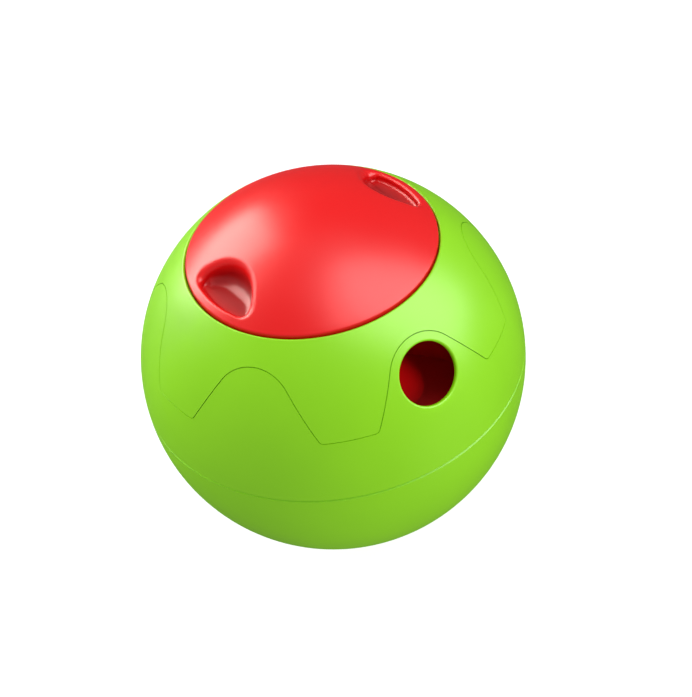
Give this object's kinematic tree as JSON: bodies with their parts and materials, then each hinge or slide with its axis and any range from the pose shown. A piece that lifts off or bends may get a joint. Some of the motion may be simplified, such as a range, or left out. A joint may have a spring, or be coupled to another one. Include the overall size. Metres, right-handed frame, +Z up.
{
  "type": "automatic treat ball",
  "caption": "Hollow pet treat ball with a bayonet lid with finger recesses, a geared drum of treat pods, one dispensing hole, a control panel and a battery well.",
  "frame": {"origin": "middle of the flat land under the ball, on the floor", "axes": "+Z up through the middle of the lid, -Y out towards the dispensing hole, X across the two finger recesses"},
  "size_m": [0.2032, 0.2032, 0.1977],
  "materials": {
    "green_casing": "moulded lime green plastic, satin gloss",
    "red_lid": "moulded red plastic, satin gloss",
    "green_inner": "moulded lime green plastic, matt inside face",
    "red_drum": "moulded red plastic",
    "screw_steel": "zinc plated steel screws",
    "gear_white": "natural acetal, as moulded",
    "gear_brass": "turned brass",
    "shaft_steel": "ground steel",
    "motor_steel": "nickel plated steel",
    "motor_cap_plastic": "black glass filled plastic",
    "dark_plastic": "dark grey moulded plastic",
    "column_plastic": "charcoal moulded plastic",
    "board_green": "glass fibre board with green solder mask",
    "spacer_plastic": "black plastic",
    "light_plastic": "clear tinted plastic lenses",
    "button_plastic": "pale grey soft touch plastic",
    "cell_wrap": "battery cells in a printed film, plain here",
    "contact_steel": "nickel plated spring steel",
    "door_plastic": "moulded lime green plastic, fine grain",
    "seal_rubber": "closed cell rubber gasket"
  },
  "bodies": {
    "ball": {"base_screws": "screw_steel", "base_shell": "green_casing", "battery_cells": "cell_wrap", "board_screws": "screw_steel", "cell_cradle": "dark_plastic", "centre_column": "column_plastic", "column_screws": "screw_steel", "control_board": "board_green", "control_panel": "column_plastic", "deck_plate": "dark_plastic", "deck_screws": "screw_steel", "gear_pins": "shaft_steel", "gearbox_cover": "dark_plastic", "gearbox_screws": "screw_steel", "index_sensor": "spacer_plastic", "indicator_lights": "light_plastic", "main_board": "board_green", "mode_switch": "spacer_plastic", "motor_can": "motor_steel", "motor_cap": "motor_cap_plastic", "motor_screws": "screw_steel", "panel_screws": "screw_steel", "panel_spacers": "spacer_plastic", "shaft_bushes": "gear_brass", "side_shell": "green_casing", "sounder": "spacer_plastic", "thrust_washer": "dark_plastic", "top_contacts": "contact_steel", "top_shell": "green_casing", "top_spring": "contact_steel"},
    "liner": {"lid_liner": "green_inner"},
    "lid": {"lid_cover": "red_lid", "lid_pivot_screw": "screw_steel"},
    "carousel": {"treat_drum": "red_drum", "index_magnets": "motor_steel", "ring_gear": "gear_white", "ring_screws": "screw_steel"},
    "drive": {"drive_gear": "gear_white", "drive_shaft": "shaft_steel", "drive_pinion": "gear_white"},
    "second": {"second_gear": "gear_white"},
    "first": {"first_gear": "gear_white"},
    "motor": {"motor_pinion": "gear_brass", "motor_rotor": "shaft_steel"},
    "button": {"mode_button": "button_plastic"},
    "door": {"battery_door": "door_plastic", "door_screws": "screw_steel", "door_seal": "seal_rubber", "bridge_contact": "contact_steel", "door_spring": "contact_steel"}
  },
  "joints": [
    {"name": "lid_lift", "type": "slide", "parent": "ball", "child": "liner", "axis": [0, 0, 1], "range_m": [0, 0.06]},
    {"name": "lid_turn", "type": "hinge", "parent": "liner", "child": "lid", "pos_m": [0, 0, 0.16609], "axis": [0, 0, 1], "range_deg": [-35, 0]},
    {"name": "carousel_spin", "type": "hinge", "parent": "ball", "child": "carousel", "pos_m": [0, 0, 0.10809], "axis": [0, 0, 1], "continuous": true},
    {"name": "drive_spin", "type": "hinge", "parent": "ball", "child": "drive", "pos_m": [0.042, 0, 0.09609], "axis": [0, 0, 1], "continuous": true},
    {"name": "second_spin", "type": "hinge", "parent": "ball", "child": "second", "pos_m": [0.04033, 0.01913, 0.09109], "axis": [0, 0, 1], "continuous": true},
    {"name": "first_spin", "type": "hinge", "parent": "ball", "child": "first", "pos_m": [0.03221, 0.03653, 0.08809], "axis": [0, 0, 1], "continuous": true},
    {"name": "motor_spin", "type": "hinge", "parent": "ball", "child": "motor", "pos_m": [0.01558, 0.04613, 0.08109], "axis": [0, 0, 1], "continuous": true},
    {"name": "button_press", "type": "slide", "parent": "ball", "child": "button", "axis": [0, 0, -1], "range_m": [0, 0.0008], "stiffness_N_per_m": 600, "springref_m": -0.0004},
    {"name": "battery_door_off", "type": "slide", "parent": "ball", "child": "door", "axis": [0, 0, -1], "range_m": [0, 0.03]}
  ],
  "couplings": [
    {"joint": "drive_spin", "follows": "carousel_spin", "ratio": -5},
    {"joint": "second_spin", "follows": "carousel_spin", "ratio": 15},
    {"joint": "first_spin", "follows": "carousel_spin", "ratio": -45},
    {"joint": "motor_spin", "follows": "carousel_spin", "ratio": 135}
  ]
}
